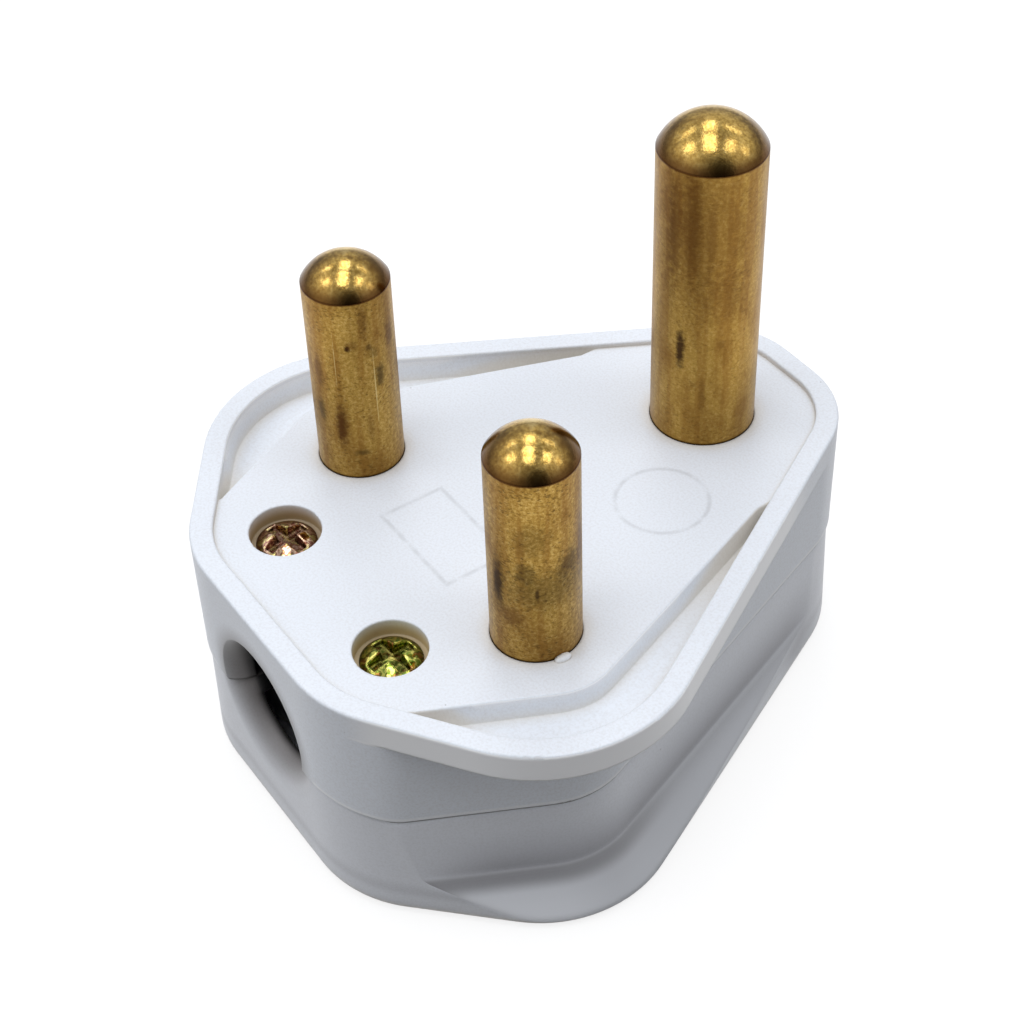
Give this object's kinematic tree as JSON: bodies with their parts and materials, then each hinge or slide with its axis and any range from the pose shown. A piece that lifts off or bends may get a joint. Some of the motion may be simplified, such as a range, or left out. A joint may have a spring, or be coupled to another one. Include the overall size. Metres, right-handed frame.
{
  "type": "three-pin plug top",
  "caption": "Rewirable plug top: a waisted two-shell plastic body with round domed brass pins and a side cable entry.",
  "frame": {"origin": "on the raised pin face, midway between the line and neutral pins", "axes": "+Z out along the pins, +Y towards the earth pin, +X towards the neutral pin; the cable enters from -Y"},
  "size_m": [0.0516, 0.0545, 0.0511],
  "materials": {
    "base_plastic": "moulded white plastic, softly glossy",
    "cover_plastic": "moulded white plastic, softly glossy",
    "grip_plastic": "moulded white plastic",
    "earth_pin_brass": "drawn brass with tarnish, turned dome",
    "line_pin_brass": "drawn brass with tarnish, turned dome",
    "neutral_pin_brass": "drawn brass with tarnish, turned dome",
    "terminal_screw_steel": "zinc-plated steel",
    "case_screw_left_zinc": "yellow-passivated zinc plating",
    "case_screw_right_zinc": "yellow-passivated zinc plating",
    "insert_brass": "turned brass",
    "grip_screw_steel": "zinc-plated steel"
  },
  "bodies": {
    "root": {"base_shell": "base_plastic", "cover_shell": "cover_plastic", "cord_grip": "grip_plastic", "earth_pin": "earth_pin_brass", "line_pin": "line_pin_brass", "neutral_pin": "neutral_pin_brass", "earth_terminal_screw": "terminal_screw_steel", "line_terminal_screw": "terminal_screw_steel", "neutral_terminal_screw": "terminal_screw_steel", "case_screw_left": "case_screw_left_zinc", "case_screw_right": "case_screw_right_zinc", "cover_insert_left": "insert_brass", "cover_insert_right": "insert_brass", "grip_screw_left": "grip_screw_steel", "grip_screw_right": "grip_screw_steel"}
  },
  "joints": []
}
